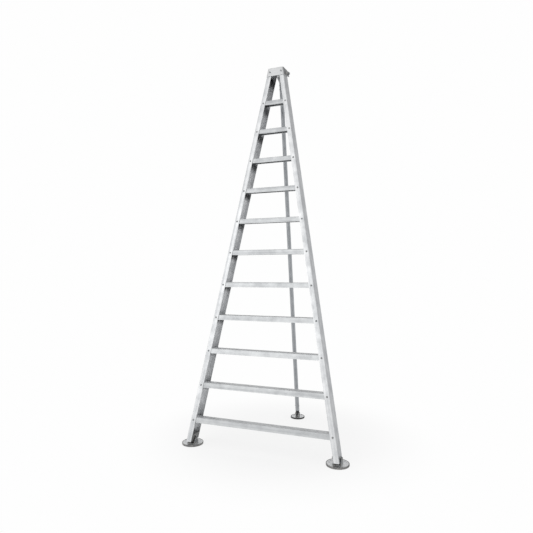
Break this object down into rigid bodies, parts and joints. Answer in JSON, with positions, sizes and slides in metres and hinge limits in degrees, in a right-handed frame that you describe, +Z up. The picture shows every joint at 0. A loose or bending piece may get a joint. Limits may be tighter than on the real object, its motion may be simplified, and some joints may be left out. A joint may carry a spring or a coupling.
{
  "type": "tripod orchard ladder",
  "caption": "Aluminium fruit picking ladder: two splayed stiles with ribbed steps meet at a cast head, where a single folding rear leg hinges; round tilting feet stand on soft ground.",
  "frame": {"origin": "on the floor, at the middle of the box round the standing ladder's footprint", "axes": "+Z up, front (the climbing side) towards -Y, rear leg towards +Y, X across the steps"},
  "size_m": [1.2484, 1.0146, 2.9908],
  "materials": {
    "stile_aluminium": "extruded, mill finish",
    "step_aluminium": "extruded, mill finish",
    "cast_aluminium": "cast, satin",
    "tube_aluminium": "drawn, satin",
    "plate_aluminium": "pressed, satin",
    "sole_rubber": "moulded, matte",
    "black_nylon": "moulded, satin",
    "rivet_steel": "zinc plated",
    "zinc_steel": "zinc plated"
  },
  "bodies": {
    "ladder": {"left_stile": "stile_aluminium", "right_stile": "stile_aluminium", "step_01": "step_aluminium", "step_02": "step_aluminium", "step_03": "step_aluminium", "step_04": "step_aluminium", "step_05": "step_aluminium", "step_06": "step_aluminium", "step_07": "step_aluminium", "step_08": "step_aluminium", "step_09": "step_aluminium", "step_10": "step_aluminium", "step_11": "step_aluminium", "left_step_rivets": "rivet_steel", "right_step_rivets": "rivet_steel", "head": "cast_aluminium", "head_bolts": "zinc_steel", "head_nuts": "zinc_steel", "hinge_bolt": "zinc_steel", "hinge_washers": "zinc_steel", "hinge_nut": "zinc_steel", "left_stile_plug": "black_nylon", "right_stile_plug": "black_nylon", "stile_plug_rivets": "rivet_steel"},
    "rear_leg": {"leg_head": "cast_aluminium", "hinge_bushes": "black_nylon", "leg_tube": "tube_aluminium", "leg_cross_pins": "rivet_steel", "leg_plug": "black_nylon"},
    "left_foot": {"left_foot_sole": "sole_rubber", "left_foot_plate": "plate_aluminium", "left_foot_yoke": "zinc_steel", "left_foot_rivets": "rivet_steel", "left_foot_bolt": "zinc_steel", "left_foot_nut": "zinc_steel"},
    "right_foot": {"right_foot_sole": "sole_rubber", "right_foot_plate": "plate_aluminium", "right_foot_yoke": "zinc_steel", "right_foot_rivets": "rivet_steel", "right_foot_bolt": "zinc_steel", "right_foot_nut": "zinc_steel"},
    "rear_foot": {"rear_foot_sole": "sole_rubber", "rear_foot_plate": "plate_aluminium", "rear_foot_yoke": "zinc_steel", "rear_foot_rivets": "rivet_steel", "rear_foot_bolt": "zinc_steel", "rear_foot_nut": "zinc_steel"}
  },
  "joints": [
    {"name": "leg_fold", "type": "hinge", "parent": "ladder", "child": "rear_leg", "pos_m": [0, 0.02547, 2.96349], "axis": [-1, 0, 0], "range_deg": [0, 15.6]},
    {"name": "left_foot_tilt", "type": "hinge", "parent": "ladder", "child": "left_foot", "pos_m": [-0.54618, -0.42933, 0.044], "axis": [1, 0, 0], "range_deg": [-15, 15]},
    {"name": "right_foot_tilt", "type": "hinge", "parent": "ladder", "child": "right_foot", "pos_m": [0.54618, -0.42933, 0.044], "axis": [1, 0, 0], "range_deg": [-15, 15]},
    {"name": "rear_foot_tilt", "type": "hinge", "parent": "rear_leg", "child": "rear_foot", "pos_m": [0, 0.44733, 0.036], "axis": [1, 0, 0], "range_deg": [-20, 20]}
  ]
}
